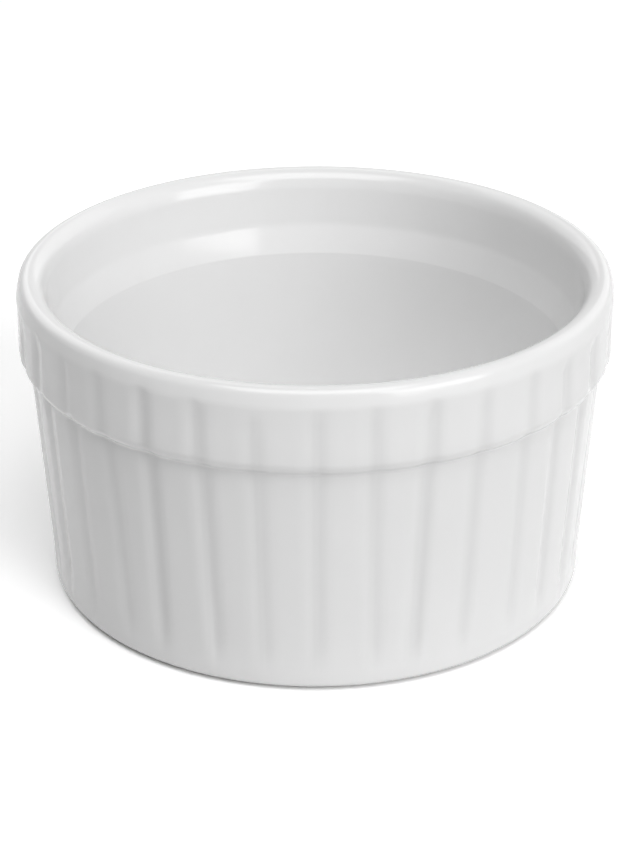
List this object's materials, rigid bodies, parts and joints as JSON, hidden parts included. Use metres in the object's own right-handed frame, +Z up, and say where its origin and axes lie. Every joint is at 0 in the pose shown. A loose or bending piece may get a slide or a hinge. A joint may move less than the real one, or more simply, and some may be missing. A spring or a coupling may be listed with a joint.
{
  "type": "ramekin",
  "caption": "Round fluted porcelain ramekin: tapered straight wall, thicker fluted rim band, rounded lip, sloping inside step, bare foot ring and white glaze.",
  "frame": {"origin": "middle of the standing face, on the cup's axis", "axes": "+Z up along the cup's axis; one groove of the fluting faces -Y, the pictured front"},
  "size_m": [0.0908, 0.0908, 0.0498],
  "materials": {
    "porcelain": "bare fired porcelain, matte and very slightly rough, seen only on the foot ring",
    "glaze": "white gloss glaze, smooth, a little thicker in the grooves and hollow corners"
  },
  "bodies": {
    "root": {"porcelain_body": "porcelain", "glaze_coat": "glaze", "underside_glaze": "glaze"}
  },
  "joints": []
}
